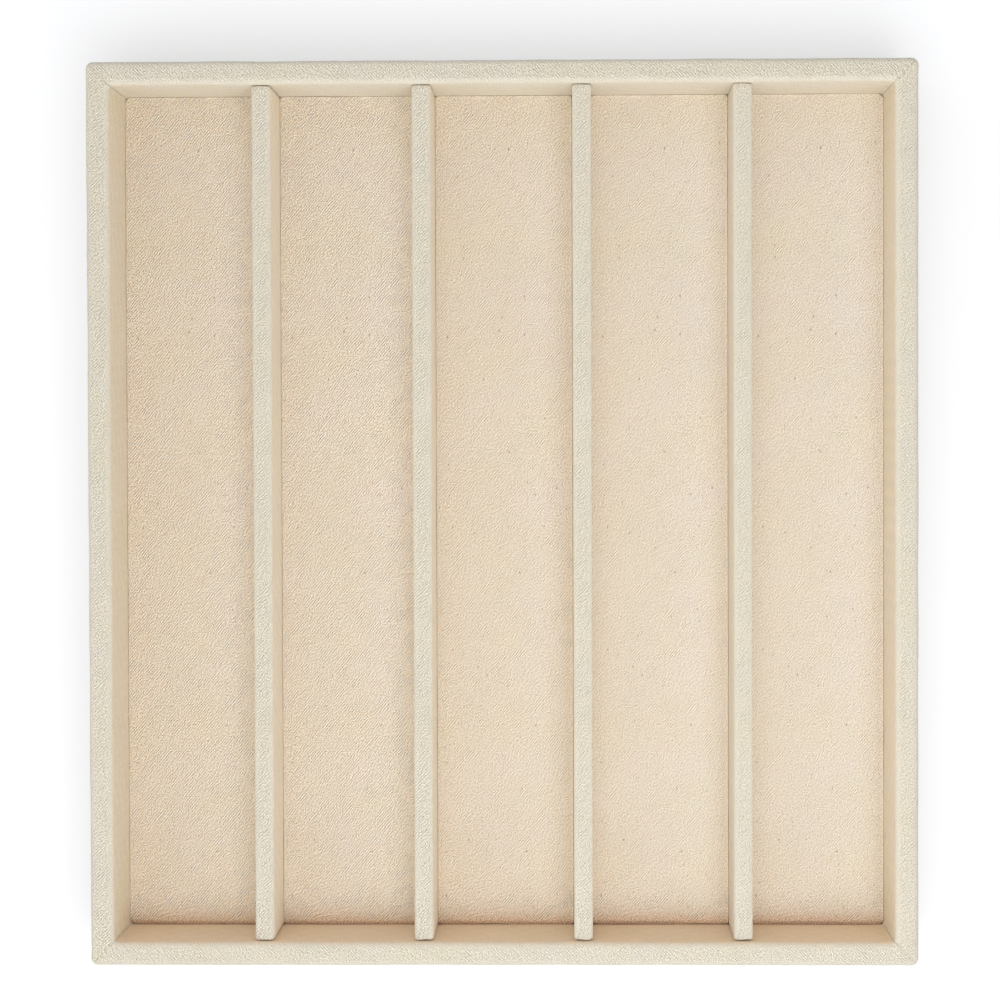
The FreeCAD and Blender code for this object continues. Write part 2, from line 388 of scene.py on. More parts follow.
def turned(points, quarter, x, y):
    """Points turned by a number of quarter turns about Z, then moved by x and y."""
    cosine = (1.0, 0.0, -1.0, 0.0)[quarter]
    sine = (0.0, 1.0, 0.0, -1.0)[quarter]
    return np.stack(
        [
            x + cosine * points[..., 0] - sine * points[..., 1],
            y + sine * points[..., 0] + cosine * points[..., 1],
            points[..., 2],
        ],
        -1,
    )


# Cloth over a divider.


def divider_rows():
    """The cross-section of a divider's cloth, from its left foot over the top to its right foot: for each
    row the core point that lies one edge radius inside, the outward direction, the distance along the
    cloth, and the share of the folded end flap that the row goes down with."""
    rise = np.linspace(FLOOR, DIVIDER_TOP - DIVIDER_ROUND, DIVIDER_SIDE_ROWS)
    angle = np.linspace(0.0, math.pi / 2.0, ARC_STEPS + 1)[1:-1]
    flat = np.linspace(-1.0, 1.0, DIVIDER_TOP_ROWS) * (DIVIDER_HALF - DIVIDER_ROUND)
    edge = DIVIDER_HALF - DIVIDER_ROUND
    top = DIVIDER_TOP - DIVIDER_ROUND
    side = np.ones_like(rise)
    turn = np.ones_like(angle)
    core_x = np.concatenate([-edge * side, -edge * turn, flat, edge * turn, edge * side])
    core_z = np.concatenate([rise, top * turn, top + 0.0 * flat, top * turn, rise[::-1]])
    face_x = np.concatenate([-side, -np.cos(angle), 0.0 * flat, np.cos(angle)[::-1], side])
    face_z = np.concatenate([0.0 * side, np.sin(angle), 1.0 + 0.0 * flat, np.sin(angle)[::-1], 0.0 * side])
    place = np.stack([core_x + DIVIDER_ROUND * face_x, core_z + DIVIDER_ROUND * face_z], -1)
    gone = distance_along(place)
    follow = np.clip((core_z - FLOOR) / (top - FLOOR), 0.0, 1.0)
    flap = np.concatenate([0.0 * side, turn, 1.0 + 0.0 * flat, turn, 0.0 * side])
    return core_x, core_z, face_x, face_z, gone, follow, flap


def divider_cover(centre, crisp, seed):
    """Cloth over one divider, along Y. The cross-section runs straight, then closes in at each end on a
    quarter circle, and on the end face it is folded like a parcel: the sides meet on the middle line and the
    top comes down over them as a three-cornered flap."""
    core_x, core_z, face_x, face_z, gone, follow, flap = (row[:, None] for row in divider_rows())
    closing = np.linspace(1.0, 0.0, DIVIDER_CLOSING_COLUMNS + 1)[:-1]
    angle = np.linspace(math.pi / 2.0, 0.0, DIVIDER_END_ROUND_COLUMNS + 1)[:-1]
    run = DIVIDER_REACH - DIVIDER_END_ROUND
    ends = run - DIVIDER_END_COLUMNS
    between = np.linspace(ends[-1], -ends[-1], DIVIDER_COLUMNS)[1:-1]
    body = np.concatenate([ends, between, -ends[::-1]])
    y = np.concatenate([0.0 * closing + DIVIDER_REACH, run + DIVIDER_END_ROUND * np.sin(angle), body])
    y = np.concatenate([y, -y[: len(closing) + len(angle)][::-1]])[None, :]
    close = np.concatenate([closing, 0.0 * angle, 0.0 * body, 0.0 * angle, closing[::-1]])[None, :]
    inset = np.concatenate([1.0 + 0.0 * closing, 1.0 - np.cos(angle), 0.0 * body])
    inset = DIVIDER_END_ROUND * np.concatenate([inset, inset[: len(closing) + len(angle)][::-1]])[None, :]
    x = (core_x + face_x * (DIVIDER_ROUND - inset)) * (1.0 - close)
    z = core_z + face_z * (DIVIDER_ROUND - inset) - close * FLAP_HIGH * follow
    y = y + np.sign(y) * FLAP_RISE * flap * np.minimum(close / FLAP_EDGE, 1.0)
    surface = np.stack([x, y + 0.0 * x, z], -1)
    normal = outward(surface)
    across = gone - gone.mean() + 0.0 * y
    along = -np.sign(y) * (np.abs(y) + close * DIVIDER_HALF)
    quiet = np.where(close > 0.0, 0.0, 1.0)
    lift = waves(along, across, DIVIDER_WAVES, seed)
    near_end = fading(DIVIDER_REACH - np.abs(y), END_REACH)
    lift += END_CRUMPLE * near_end * waver(along, across, END_CRUMPLE_LENGTH, seed + 2)
    wall_share = normal[..., 0] ** 2
    surface = surface + normal * (lift * quiet * (1.0 - DIVIDER_STILLED * wall_share))[..., None]
    surface[..., 0] += centre
    surface[..., 1] += DIVIDER_BACKWARD
    rub = 2.0 * np.abs(normal[..., 0] * normal[..., 2]) * quiet
    # Painted light on the divider's sides, lifting and warming them as bounce light would, less on the left
    # faces, a little unevenly.
    kept = wall_share * np.where(normal[..., 0] > 0.0, 1.0, DIVIDER_LEFT_SHARE)
    kept = kept * (1.0 + WALL_UNEVEN * waver(along, across, WALL_UNEVEN_LENGTH, seed + 3))
    masks = {
        "rub": rub,
        # Dust and painted shade on the folded ends, where the gap to the wall lies in shade.
        "seam_dust_and_shade": np.maximum(close, END_DUST_AND_SHADE * near_end**END_DUST_AND_SHADE_FALL) + 0.0 * rub,
        "painted_light_and_shade": tinted(kept, DIVIDER_SIDE_PAINTED_LIGHT),
        "crisp": crisp - WALL_PLAINER * wall_share,
    }
    return surface, np.stack([along, across], -1), masks


# Pads.


def edge_lines(flat_half, count):
    """Lines across a rolled form: first the roll at one edge, then evenly over the flat, then the other
    roll. For each line the inset place and the angle through which the cloth has turned down."""
    angle = np.linspace(PAD_ROLL_TURN, 0.0, PAD_ROLL_LINES, endpoint=False)
    flat = np.linspace(-flat_half, flat_half, count)
    inset = np.concatenate([0.0 * angle - flat_half, flat, 0.0 * angle + flat_half])
    turn = np.concatenate([-angle, 0.0 * flat, angle[::-1]])
    return inset, turn


def rolled_top(half_wide, half_long, counts):
    """The upper half of a pad with rolled edges: every grid point is an inset point plus the roll radius
    along a direction that is straight up on the flat, turns down over the edges, and takes in the corner
    by mixing the two turns. Gives inset points, directions, and the cloth's own distances."""
    inset_x, turn_x = edge_lines(half_wide - PAD_ROLL, counts[0])
    inset_y, turn_y = edge_lines(half_long - PAD_ROLL, counts[1])
    turn_x = turn_x[None, :]
    turn_y = turn_y[:, None]
    direction = np.stack(
        [
            np.sin(turn_x) * np.cos(turn_y),
            np.sin(turn_y) * np.cos(turn_x),
            np.cos(turn_x) * np.cos(turn_y),
        ],
        -1,
    )
    direction /= np.linalg.norm(direction, axis=-1, keepdims=True)
    inset = np.stack(np.broadcast_arrays(inset_x[None, :], inset_y[:, None], 0.0 * turn_x * turn_y), -1)
    across = inset_x[None, :] + PAD_ROLL * turn_x + 0.0 * turn_y
    along = -(inset_y[:, None] + PAD_ROLL * turn_y + 0.0 * turn_x)
    return inset, direction, np.stack([along, across], -1)


def rim_loop(rows, cols):
    """The numbers of a grid's outermost points, once round, anticlockwise from above."""
    number = np.arange(rows * cols).reshape(rows, cols)
    return np.concatenate([number[0, :], number[1:, -1], number[-1, -2::-1], number[-2:0:-1, 0]])


def loop_faces(upper, lower):
    """Quads between two closed loops of points, facing away from their middle."""
    return np.stack([upper, lower, np.roll(lower, -1), np.roll(upper, -1)], -1)


def crowned(inset, half_wide, half_long, crown):
    """Height of a pad's crown: a parabola across the width, fading out over the last few millimetres at
    both ends."""
    side = 1.0 - (inset[..., 0] / half_wide) ** 2
    return crown * side * (1.0 - np.abs(inset[..., 1] / half_long) ** PAD_CROWN_FADE)


def rounded_corners(points, half_wide, half_long, radius):
    """Points of a rectangle about the origin, moved in plan so that its corners turn on a radius, one for all
    or one for each point: within the square of a corner, the shares u and v from 0 to 1 become u times the
    root of 1 - v²/2 and v times the root of 1 - u²/2."""
    plain = np.array([half_wide, half_long]) - radius
    plan = points[..., :2]
    share = np.clip((np.abs(plan) - plain) / radius, 0.0, 1.0)
    taken = share * np.sqrt(1.0 - share[..., ::-1] ** 2 / 2.0)
    moved = np.sign(plan) * (np.minimum(np.abs(plan), plain) + radius * taken)
    return np.concatenate([moved, points[..., 2:]], -1)


def pad_cover(low, high, beside_rim, crisp, whiter_light, right_light, seed):
    """The cloth of one pad: a crowned top with rolled edges that droops a little towards its front end and
    stands a little off the front wall, an upright side, and a hem turned under the card all round. Its
    corners are rounder on the side, -1 or 1, that lies beside the rim. Its colour has painted shade and light
    in it: a warm painted shade at the front end where the front wall's shadow falls, with a dark painted
    shade line at its very edge; painted light along the other edges, with a light painted line in the right
    and back crevices; more painted light on the right, by the given share, where the next divider's shadow
    falls; and a whiter painted light, by the given share and in a band right of the middle."""
    half_wide = (high.x - low.x) / 2.0 + PAD_BULGE
    half_long = (high.y - low.y) / 2.0 + PAD_BULGE
    level = PAD_EDGE - PAD_ROLL
    inset, direction, uv = rolled_top(half_wide, half_long, PAD_LINES)
    rows, cols = inset.shape[:2]
    flat_half = (half_wide - PAD_ROLL, half_long - PAD_ROLL)
    top = inset + PAD_ROLL * direction
    top[..., 2] += level + crowned(inset, *flat_half, PAD_CROWN)
    x = inset[..., 0]
    y = inset[..., 1]
    edge = 1.0 - direction[..., 2]
    give = waves(x, y, PAD_WAVES, seed)
    give -= PAD_PUCKER * edge * (1.0 + waver(x, y, PAD_PUCKER_LENGTH, seed + 2))
    give -= PAD_DROOP * fading(y + half_long, PAD_DROOP_REACH)
    top = top + direction * (give * direction[..., 2])[..., None]
    loop = rim_loop(rows, cols)
    rim = top.reshape(-1, 3)[loop]
    rim_inset = inset.reshape(-1, 3)[loop]
    away = direction.reshape(-1, 3)[loop] * np.array([1.0, 1.0, 0.0])
    drop = level - low.z
    turn = np.linspace(0.0, math.pi / 2.0, PAD_FOOT_LINES)
    hem = [2.0 * PAD_ROLL, PAD_HEM / 2.0, PAD_HEM]
    down = [share * drop for share in PAD_SIDE_LINES]
    down += list(drop - PAD_FOOT_ROUND * (1.0 - np.sin(turn)))
    down += [drop] * len(hem)
    inward = [0.0] * len(PAD_SIDE_LINES)
    inward += list(PAD_FOOT_ROUND * (1.0 - np.cos(turn)))
    inward += hem
    points = [top.reshape(-1, 3)]
    uvs = [uv.reshape(-1, 2)]
    faces = [grid_faces(rows, cols)]
    upper = loop
    middle = middle_of(low, high)
    for fall, tuck in zip(down, inward):
        if tuck < PAD_ROLL:
            ring = rim - away * tuck
        else:
            reach = np.array([half_wide - tuck, half_long - tuck, 1.0])
            ring = np.clip(rim_inset, -reach, reach)
        ring = ring * np.array([1.0, 1.0, 0.0]) + np.array([0.0, 0.0, level - fall])
        lower = sum(len(part) for part in points) + np.arange(len(loop))
        faces.append(loop_faces(upper, lower))
        points.append(ring)
        uvs.append(uv.reshape(-1, 2)[loop] + (fall + tuck) * np.stack([-away[:, 1], away[:, 0]], -1))
        upper = lower
    points = np.concatenate(points)
    above = np.where(points[:, :1] * beside_rim > 0.0, PAD_CORNER, PAD_DIVIDER_CORNER)
    radius = corner_radius(points[:, 2:], above)
    points = rounded_corners(points, half_wide, half_long, radius)
    points[:, 1] += PAD_FRONT_GAP * fading(points[:, 1] + half_long, PAD_FRONT_GAP_REACH)
    points = points + middle
    below = np.zeros(len(points) - rows * cols)
    rub = np.concatenate([np.sin(math.pi * np.clip(edge, 0.0, 1.0)).ravel(), below])
    # Dust and painted shade towards the pad's edges and on its sides, in the crevices.
    seam_dust_and_shade = np.concatenate([np.clip(edge, 0.0, 1.0).ravel() ** 2, below + 1.0])
    from_front = np.maximum(points[:, 1] - middle[1] + half_long - PAD_FRONT_GAP, 0.0)
    from_back = np.maximum(half_long - points[:, 1] + middle[1], 0.0)
    from_side = np.maximum(half_wide - np.abs(points[:, 0] - middle[0]), 0.0)
    from_right = np.maximum(half_wide - points[:, 0] + middle[0], 0.0)
    from_edge = np.minimum(from_right, from_back)
    # Painted light along the sides, the back and the front, against the shade of the walls.
    paler = PAD_SIDE_PAINTED_LIGHT * fading(from_side, PAD_SIDE_PAINTED_LIGHT_REACH)
    paler += PAD_BACK_PAINTED_LIGHT * fading(from_back, PAD_BACK_PAINTED_LIGHT_REACH)
    paler += PAD_FRONT_PAINTED_LIGHT * fading(from_front, PAD_FRONT_PAINTED_LIGHT_REACH)
    # A painted highlight in a band right of each pad's middle.
    band = fading(((points[:, 0] - middle[0]) / half_wide - PAD_BAND_PLACE) ** 2, PAD_BAND_SPREAD)
    # Painted shade, darker and warmer, at the front end under the front wall's shadow.
    painted_light_and_shade = tinted(fading(from_front, PAD_FRONT_PAINTED_SHADE_REACH), PAD_FRONT_PAINTED_SHADE) * (1.0 + paler[:, None])
    # Whiter painted light, by the pad's share and in the band.
    painted_light_and_shade *= tinted(whiter_light + PAD_PAINTED_HIGHLIGHT_BAND * band, PAD_WHITER_PAINTED_LIGHT)
    # Painted light on the right, where the next divider's shadow falls.
    painted_light_and_shade *= tinted(right_light * fading(from_right, PAD_RIGHT_PAINTED_LIGHT_REACH), PAD_RIGHT_PAINTED_LIGHT)
    # A thin dark painted shade line in the front crevice, and a thin painted light line in the right and back
    # crevices.
    painted_light_and_shade *= tinted(fading((from_front / PAD_LINE_REACH) ** 2, 1.0), PAD_FRONT_PAINTED_SHADE_LINE)
    painted_light_and_shade *= tinted(fading((from_edge / PAD_LINE_REACH) ** 2, 1.0), PAD_PAINTED_LIGHT_LINE)
    towards_back = np.clip((points[:, 1] - middle[1]) / half_long - PAD_BACK_CRISP_FROM, 0.0, 1.0)
    crisp = crisp + PAD_BACK_CRISPER * towards_back
    crisp = crisp + PAD_FRONT_CRISPER * fading(from_front, PAD_FRONT_CRISP_REACH)
    masks = {"rub": rub, "seam_dust_and_shade": seam_dust_and_shade, "painted_light_and_shade": painted_light_and_shade, "crisp": crisp}
    return points, np.concatenate(faces), np.concatenate(uvs), masks


def pad_wadding(low, high):
    """The soft filling of one pad: the cover's form one cloth thickness in, closed underneath by a flat
    grid with the same outline."""
    half_wide = (high.x - low.x) / 2.0
    half_long = (high.y - low.y) / 2.0
    inset, direction, uv = rolled_top(half_wide, half_long, WADDING_LINES)
    rows, cols = inset.shape[:2]
    top = inset + PAD_ROLL * direction
    crown = crowned(inset, half_wide - PAD_ROLL, half_long - PAD_ROLL, PAD_CROWN)
    top[..., 2] += high.z - PAD_CROWN - PAD_ROLL + crown
    base = top * np.array([1.0, 1.0, 0.0]) + np.array([0.0, 0.0, low.z])
    loop = rim_loop(rows, cols)
    faces = [
        grid_faces(rows, cols),
        loop_faces(loop, loop + rows * cols),
        grid_faces(rows, cols, rows * cols)[:, ::-1],
    ]
    middle = middle_of(low, high)
    points = np.concatenate([top.reshape(-1, 3), base.reshape(-1, 3)])
    points = rounded_corners(points, half_wide, half_long, PAD_CORNER) + middle
    uvs = np.concatenate([uv.reshape(-1, 2), uv.reshape(-1, 2)])
    return points, np.concatenate(faces), uvs


def felt_sheet(low, high, seed):
    """The felt underneath: a flat rectangle with rounded corners, cut with shears, so that its edge wavers
    a little. Its points are drawn in by a share of the waver: 0 in the middle, 1 at the edge."""
    half = np.array([high.x - low.x, high.y - low.y]) / 2.0
    ticks = [graded(side, FELT_COLUMNS, FELT_STEP) for side in half]
    x, y = np.meshgrid(*ticks)
    points = rounded_corners(np.stack([x, y, 0.0 * x], -1), *half, FELT_CORNER)
    cut = FELT_CUT * (waver(x, y, FELT_CUT_LENGTH, seed) - 1.0)
    points[..., :2] *= 1.0 + cut[..., None] / half
    return points + middle_of(low, high, high.z), np.stack([-y, x], -1)


# Materials.


def tone(red, green, blue):
    """A colour as it is seen, 0 to 255, made linear for the shader."""
    seen = np.array([red, green, blue]) / 255.0
    linear = np.where(seen > 0.04045, ((seen + 0.055) / 1.055) ** 2.4, seen / 12.92)
    return (*linear.tolist(), 1.0)


class Wiring:
    """Adds nodes to one shader tree and joins them: a value that is a socket is linked, any other is set."""

    def __init__(self, tree):
        self.tree = tree

    def feed(self, socket, value):
        if isinstance(value, bpy.types.NodeSocket):
            self.tree.links.new(value, socket)
        else:
            socket.default_value = value

    def fill(self, made, values):
        for label, value in values.items():
            self.feed(made.inputs[label], value)

    def node(self, kind, values=None, **settings):
        made = self.tree.nodes.new(kind)
        for label, setting in settings.items():
            setattr(made, label, setting)
        self.fill(made, values or {})
        return made

    def math(self, operation, *values):
        return self.node("ShaderNodeMath", dict(enumerate(values)), operation=operation).outputs[0]

    def times(self, *factors):
        return self.math("MULTIPLY", *factors)

    def plus(self, *parts):
        return self.math("ADD", *parts)

    def minus(self, whole, taken):
        return self.math("SUBTRACT", whole, taken)

    def scaled(self, value, factor, start):
        return self.math("MULTIPLY_ADD", value, factor, start)

    def between(self, share, first, second):
        return self.plus(first, self.times(share, self.minus(second, first)))

    def vector(self, operation, *values):
        made = self.node("ShaderNodeVectorMath", dict(enumerate(values)), operation=operation)
        return made.outputs["Value" if operation == "DOT_PRODUCT" else "Vector"]

    def place(self, x, y):
        return self.node("ShaderNodeCombineXYZ", {"X": x, "Y": y}).outputs["Vector"]

    def range(self, value, low, high, to_low, to_high):
        values = {"Value": value, "From Min": low, "From Max": high, "To Min": to_low, "To Max": to_high}
        return self.node("ShaderNodeMapRange", values).outputs["Result"]

    def mix(self, share, first, second):
        return self.node("ShaderNodeMix", {0: share, 6: first, 7: second}, data_type="RGBA").outputs[2]

    def noise(self, vector, scale, detail=2.0, roughness=0.5, dimensions="2D"):
        values = {"Vector": vector, "Scale": scale, "Detail": detail, "Roughness": roughness}
        return self.node("ShaderNodeTexNoise", values, noise_dimensions=dimensions)

    def group(self, tree, values):
        return self.node("ShaderNodeGroup", values, node_tree=tree)

    def bump(self, strength, distance, height):
        values = {"Strength": strength, "Distance": distance, "Height": height}
        return self.node("ShaderNodeBump", values).outputs["Normal"]


SOCKET_KINDS = {1: "NodeSocketFloat", 3: "NodeSocketVector", 4: "NodeSocketColor"}


def effect(name, takes, gives):
    """A shader node group with named inputs, each with a starting value, and named outputs. Gives the tree,
    its wiring, its inputs by name and the node that takes its outputs."""
    tree = bpy.data.node_groups.new(name, "ShaderNodeTree")
    for label, value in takes.items():
        kind = SOCKET_KINDS[np.size(value)]
        socket = tree.interface.new_socket(label, in_out="INPUT", socket_type=kind)
        socket.default_value = value
    for label, kind in gives.items():
        tree.interface.new_socket(label, in_out="OUTPUT", socket_type=kind)
    wiring = Wiring(tree)
    return tree, wiring, wiring.node("NodeGroupInput").outputs, wiring.node("NodeGroupOutput").inputs


WHITE = (1.0, 1.0, 1.0, 1.0)
EVEN = (1.0, 1.0, 1.0)

# The yarns: heights as shares of a yarn, and noise scales per metre.
YARN_ARCH = 0.45
WARP_RISE = 0.6
WEFT_FOOT = 0.15
WEFT_RISE = 0.35
YARN_CREST = 0.78
YARN_WAVER = 0.3 * MM
YARN_RELIEF = 0.16 * MM
MEAN_YARN_HEIGHT = 0.595
MEAN_YARN_SHADE = 0.563
WARM_SHADE = (0.93, 1.02, 1.16)
DRIFT_SCALE = 210.0
SLUB_SCALE = 170.0
HAIR_SCALE = 2300.0
# The patches where ribs show, by their noise level, and the grain's growth with crispness.
PATCH_SCALE = 210.0
PATCH_LEVEL = 0.8
PATCH_PER_CRISP = -0.3
PATCH_EDGE = 0.16
PATCH_LEAST = 0.1
PATCH_MOST = 1.35
GRAIN_PER_CRISP = 1.4
GRAIN_OFFSET = -0.27
SPECK_SHARE = 1.5
FUZZ_SHARE = 2.5

# The cloth's age.
UNEVEN_HUE = (0.02, 0.03, 0.13)
MOTTLE_SCALE = 42.0
FLECK_SCALE = 900.0
FLECK_LEVELS = (0.8, 0.825)
RUB_SCALE = 300.0
RUB_RANGE = (0.35, 0.65, 0.15, 0.6)
CRUMB_SCALE = 1400.0
CRUMB_RANGE = (0.4, 0.65, 0.1, 0.8)
PALEST = (0.96, 0.96, 0.96)


def make_twill():
    """Two-over-one twill. The lengthwise yarn of each column passes over two crosswise yarns and under the
    third, one step on in each column, which draws the diagonal rib. Each yarn is round in section and arched
    along its float; it wavers, and yarns differ a little in shade and have thick and thin places. Every
    crossing is a little lighter or darker than those beside it, and shade is warmer than light."""
    takes = {
        "Along": 0.0,
        "Across": 0.0,
        "Along Yarn": 0.001,
        "Across Yarn": 0.001,
        "Warp Color": WHITE,
        "Weft Color": WHITE,
        "Relief": 0.3,
        "Waver": 0.0001,
        "Slub": 0.1,
        "Grain": 0.1,
        "Crisp": 1.0,
        "Rib Balance": (0.0, 0.0, 0.0),
    }
    gives = {"Color": "NodeSocketColor", "Height": "NodeSocketFloat"}
    tree, w, given, out = effect("twill_weave", takes, gives)
    place = w.place(given["Along"], given["Across"])
    drift = w.noise(place, DRIFT_SCALE, 1.0)
    drift = w.node("ShaderNodeSeparateColor", {"Color": drift.outputs["Color"]}).outputs
    along = w.scaled(w.minus(drift[0], 0.5), given["Waver"], given["Along"])
    across = w.scaled(w.minus(drift[1], 0.5), given["Waver"], given["Across"])
    pick = w.math("DIVIDE", along, given["Along Yarn"])
    end = w.math("DIVIDE", across, given["Across Yarn"])
    pick_number = w.math("FLOOR", pick)
    end_number = w.math("FLOOR", end)
    pick_part = w.math("FRACT", pick)
    end_part = w.math("FRACT", end)
    step = w.math("FLOORED_MODULO", w.plus(pick_number, end_number), 3.0)
    under = w.math("LESS_THAN", step, 0.5)

    def round_section(part):
        off = w.scaled(part, 2.0, -1.0)
        return w.minus(1.0, w.times(off, off))

    gone = w.times(w.plus(w.minus(step, 1.0), pick_part), 0.5)
    arch = round_section(gone)
    warp_round = round_section(end_part)
    weft_round = round_section(pick_part)
    warp_high = w.times(warp_round, w.scaled(arch, YARN_ARCH, 1.0 - YARN_ARCH))
    warp_high = w.scaled(warp_high, WARP_RISE, 1.0 - WARP_RISE)
    weft_high = w.scaled(w.times(weft_round, warp_round), WEFT_RISE, WEFT_FOOT)
    high = w.between(under, warp_high, weft_high)
    warp_place = w.place(w.times(along, SLUB_SCALE), end_number)
    weft_place = w.place(w.times(across, SLUB_SCALE), pick_number)
    warp_slub = w.noise(warp_place, 1.0, 2.0).outputs["Fac"]
    weft_slub = w.noise(weft_place, 1.0, 2.0).outputs["Fac"]
    slub = w.between(under, warp_slub, weft_slub)
    hair = w.noise(place, HAIR_SCALE, 0.0).outputs["Fac"]
    begins = w.scaled(given["Crisp"], PATCH_PER_CRISP, PATCH_LEVEL)
    patch = w.noise(place, PATCH_SCALE, 2.0, 0.6).outputs["Fac"]
    patch = w.range(patch, begins, w.plus(begins, PATCH_EDGE), PATCH_LEAST, PATCH_MOST)

    def luck(pick_step, end_step):
        crossing = w.place(w.plus(pick_number, pick_step), w.plus(end_number, end_step))
        return w.node("ShaderNodeTexWhiteNoise", {"Vector": crossing}, noise_dimensions="2D").outputs["Value"]

    beside = w.times(w.plus(luck(1.0, 0.0), luck(0.0, 1.0)), 0.5)
    speck = w.minus(luck(0.0, 0.0), beside)
    relief = w.times(patch, given["Relief"])
    worn = w.math("MINIMUM", high, YARN_CREST)
    shade = w.times(w.minus(worn, MEAN_YARN_SHADE), relief)
    grown = w.scaled(given["Crisp"], GRAIN_PER_CRISP, GRAIN_OFFSET)
    grain = w.times(given["Grain"], grown)
    shade = w.scaled(speck, w.times(grain, SPECK_SHARE), shade)
    unlike = w.times(w.minus(slub, 0.5), given["Slub"])
    fuzz = w.times(w.minus(hair, 0.5), w.times(grain, FUZZ_SHARE))
    loose = w.plus(unlike, fuzz)
    shade = w.plus(shade, loose)
    shown = w.scaled(w.minus(under, 1.0 / 3.0), patch, 1.0 / 3.0)
    yarn = w.mix(shown, given["Warp Color"], given["Weft Color"])
    balance = w.vector("MULTIPLY_ADD", patch, given["Rib Balance"], EVEN)
    warm = w.vector("MULTIPLY_ADD", shade, WARM_SHADE, balance)
    w.feed(out["Color"], w.vector("MULTIPLY", yarn, warm))
    raised = w.times(w.minus(high, MEAN_YARN_HEIGHT), patch)
    w.feed(out["Height"], w.plus(raised, loose))
    return tree


def make_cloth_age():
    """What time and hands do to pale cloth: broad faint mottling in shade and hue, a few dark plant flecks
    lying along the yarns, a paler flattened line where an edge is rubbed, and dust in seams and crevices,
    which is also their painted shade. The colour is multiplied by the painted light and shade given for the
    place on the tray."""
    takes = {
        "Color": WHITE,
        "Along": 0.0,
        "Across": 0.0,
        "Rub": 0.0,
        "Seam": 0.0,
        "Rub Color": WHITE,
        "Dust And Shade Color": WHITE,
        "Fleck Color": WHITE,
        "Mottle": 0.05,
        "Flecks": 0.5,
        "Tint": EVEN,
    }
    tree, w, given, out = effect("cloth_age", takes, {"Color": "NodeSocketColor", "Wear": "NodeSocketFloat"})
    place = w.place(given["Along"], given["Across"])
    broad = w.noise(place, MOTTLE_SCALE, 3.0, 0.6).outputs
    shade = w.scaled(w.minus(broad["Fac"], 0.5), given["Mottle"], 1.0)
    hue = w.vector("MULTIPLY_ADD", broad["Color"], UNEVEN_HUE, [1.0 - 0.5 * share for share in UNEVEN_HUE])
    hued = w.vector("MULTIPLY", given["Color"], hue)
    mottled = w.node("ShaderNodeVectorMath", {0: hued, "Scale": shade}, operation="SCALE").outputs["Vector"]
    speck = w.noise(w.place(w.times(given["Along"], 0.5), given["Across"]), FLECK_SCALE, 1.0)
    speck = w.range(speck.outputs["Fac"], *FLECK_LEVELS, 0.0, 1.0)
    # The painted light and shade of the place multiply the colour here.
    kept = w.vector("MULTIPLY", mottled, given["Tint"])
    flecked = w.mix(w.times(speck, given["Flecks"]), kept, given["Fleck Color"])
    worn = w.noise(place, RUB_SCALE, 3.0, 0.65).outputs["Fac"]
    rubbed = w.times(given["Rub"], w.range(worn, *RUB_RANGE))
    paler = w.mix(rubbed, flecked, given["Rub Color"])
    crumbs = w.noise(place, CRUMB_SCALE, 1.0).outputs["Fac"]
    # Dust and painted shade in seams and crevices.
    dusted_and_shaded = w.times(given["Seam"], w.range(crumbs, *CRUMB_RANGE))
    w.feed(out["Color"], w.vector("MINIMUM", w.mix(dusted_and_shaded, paler, given["Dust And Shade Color"]), PALEST))
    w.feed(out["Wear"], rubbed)
    return tree


def make_fibres():
    """Pressed or felted fibres: two noises of different grain, one of them stretched, mixed to a colour
    between a dark and a pale one and to a height."""
    takes = {"Vector": (0.0, 0.0, 0.0), "Grain": 800.0, "Speck": 0.3}
    takes |= {"Dark Color": WHITE, "Pale Color": WHITE}
    gives = {"Color": "NodeSocketColor", "Height": "NodeSocketFloat"}
    tree, w, given, out = effect("pressed_fibres", takes, gives)
    fine = w.noise(given["Vector"], given["Grain"], 4.0, 0.65, "3D").outputs["Fac"]
    stretched = w.vector("MULTIPLY", given["Vector"], (0.35, 1.0, 1.0))
    coarse = w.noise(stretched, w.times(given["Grain"], 0.4), 3.0, 0.6, "3D")
    both = w.scaled(coarse.outputs["Fac"], 0.5, w.times(fine, 0.5))
    share = w.range(both, 0.35, 0.65, 0.0, 1.0)
    speck = w.times(w.range(fine, 0.62, 0.72, 0.0, 1.0), given["Speck"])
    base = w.mix(share, given["Dark Color"], given["Pale Color"])
    w.feed(out["Color"], w.mix(speck, base, given["Dark Color"]))
    w.feed(out["Height"], both)
    return tree


TWILL = make_twill()
CLOTH_AGE = make_cloth_age()
FIBRES = make_fibres()


def new_material(name):
    """A material with its wiring and its Principled shader."""
    material = bpy.data.materials.new(name)
    material.use_nodes = True
    shader = next(n for n in material.node_tree.nodes if n.type == "BSDF_PRINCIPLED")
    return material, Wiring(material.node_tree), shader


